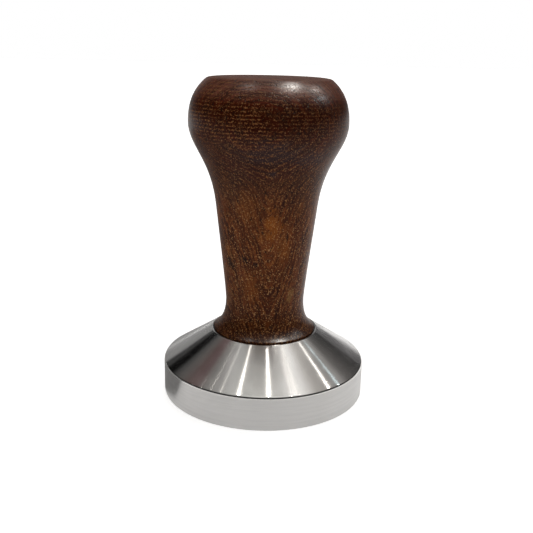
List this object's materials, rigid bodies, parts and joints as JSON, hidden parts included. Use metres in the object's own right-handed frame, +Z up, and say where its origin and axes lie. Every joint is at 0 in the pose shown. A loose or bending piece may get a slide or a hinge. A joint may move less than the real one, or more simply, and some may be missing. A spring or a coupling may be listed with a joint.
{
  "type": "espresso tamper",
  "caption": "Espresso tamper: a flat steel piston with a conical back and a turned wooden handle that unscrews from it on a threaded stud.",
  "frame": {"origin": "middle of the piston's flat working face, on the surface the tamper stands on", "axes": "+Z up the tamper's axis of symmetry, from the working face to the handle's crown; X and Y are any two directions square to it"},
  "size_m": [0.058, 0.058, 0.0891],
  "materials": {
    "turned_steel": "polished on a lathe, with fine turning marks",
    "zinc_plated_steel": "satin zinc plate",
    "black_rubber": "matt",
    "oiled_hardwood": "satin oil",
    "brass": "as machined"
  },
  "bodies": {
    "base": {"base_piston": "turned_steel", "joining_stud": "zinc_plated_steel"},
    "gasket": {"seat_gasket": "black_rubber"},
    "handle": {"handle_body": "oiled_hardwood", "threaded_insert": "brass"}
  },
  "joints": [
    {"name": "handle_rise", "type": "slide", "parent": "base", "child": "gasket", "axis": [0, 0, 1], "range_m": [0, 0.01125]},
    {"name": "handle_unscrew", "type": "hinge", "parent": "gasket", "child": "handle", "pos_m": [0, 0, 0.0181], "axis": [0, 0, 1], "range_deg": [0, 3240]}
  ],
  "couplings": [
    {"joint": "handle_rise", "follows": "handle_unscrew", "m_per_rad": 0.00019894}
  ]
}
